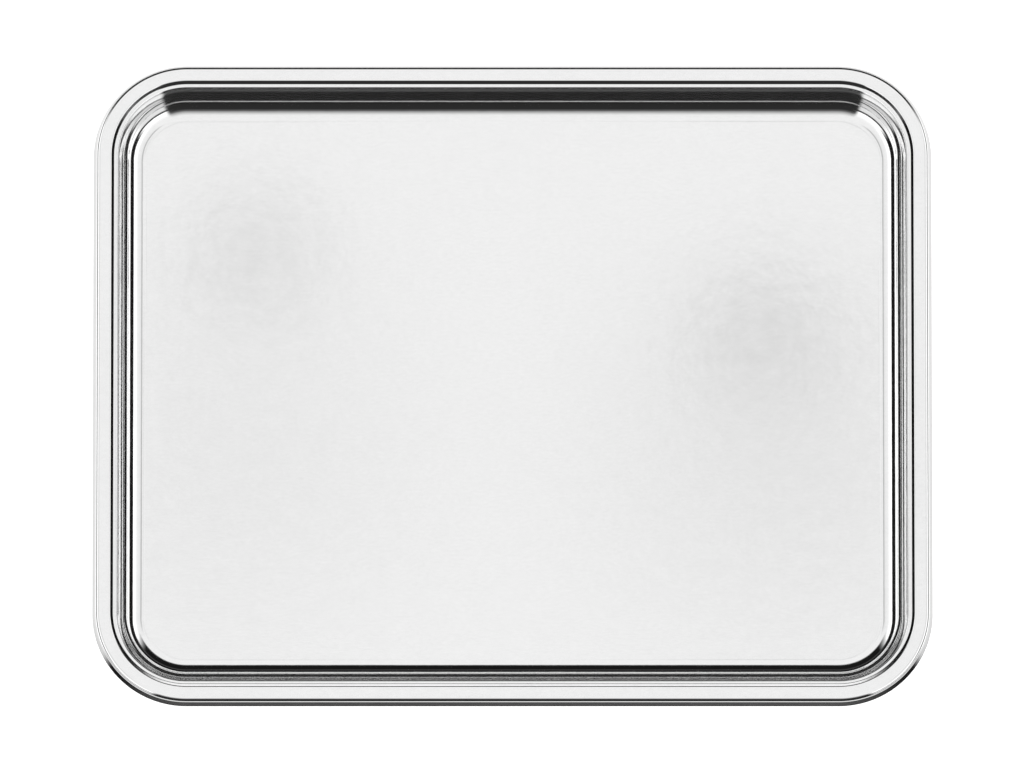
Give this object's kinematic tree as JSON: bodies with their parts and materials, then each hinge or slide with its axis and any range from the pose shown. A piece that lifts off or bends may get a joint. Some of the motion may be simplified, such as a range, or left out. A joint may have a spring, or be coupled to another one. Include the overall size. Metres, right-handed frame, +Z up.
{
  "type": "pill counting tray",
  "caption": "Shallow rectangular stainless steel tray with rounded corners, steep walls and a flat turned-down rim, for laying out and counting pills.",
  "frame": {"origin": "middle of the floor's underside, on the surface that the tray rests on", "axes": "+X along the long side, +Y across the tray towards the side where the rim wire's ends meet, +Z up out of the tray"},
  "size_m": [0.25, 0.195, 0.011],
  "materials": {
    "steel_sheet": "satin stainless, fine rolled grain, brighter on the pressed bends",
    "steel_wire": "bright drawn wire"
  },
  "bodies": {
    "root": {"tray_pan": "steel_sheet", "rim_wire": "steel_wire"}
  },
  "joints": []
}
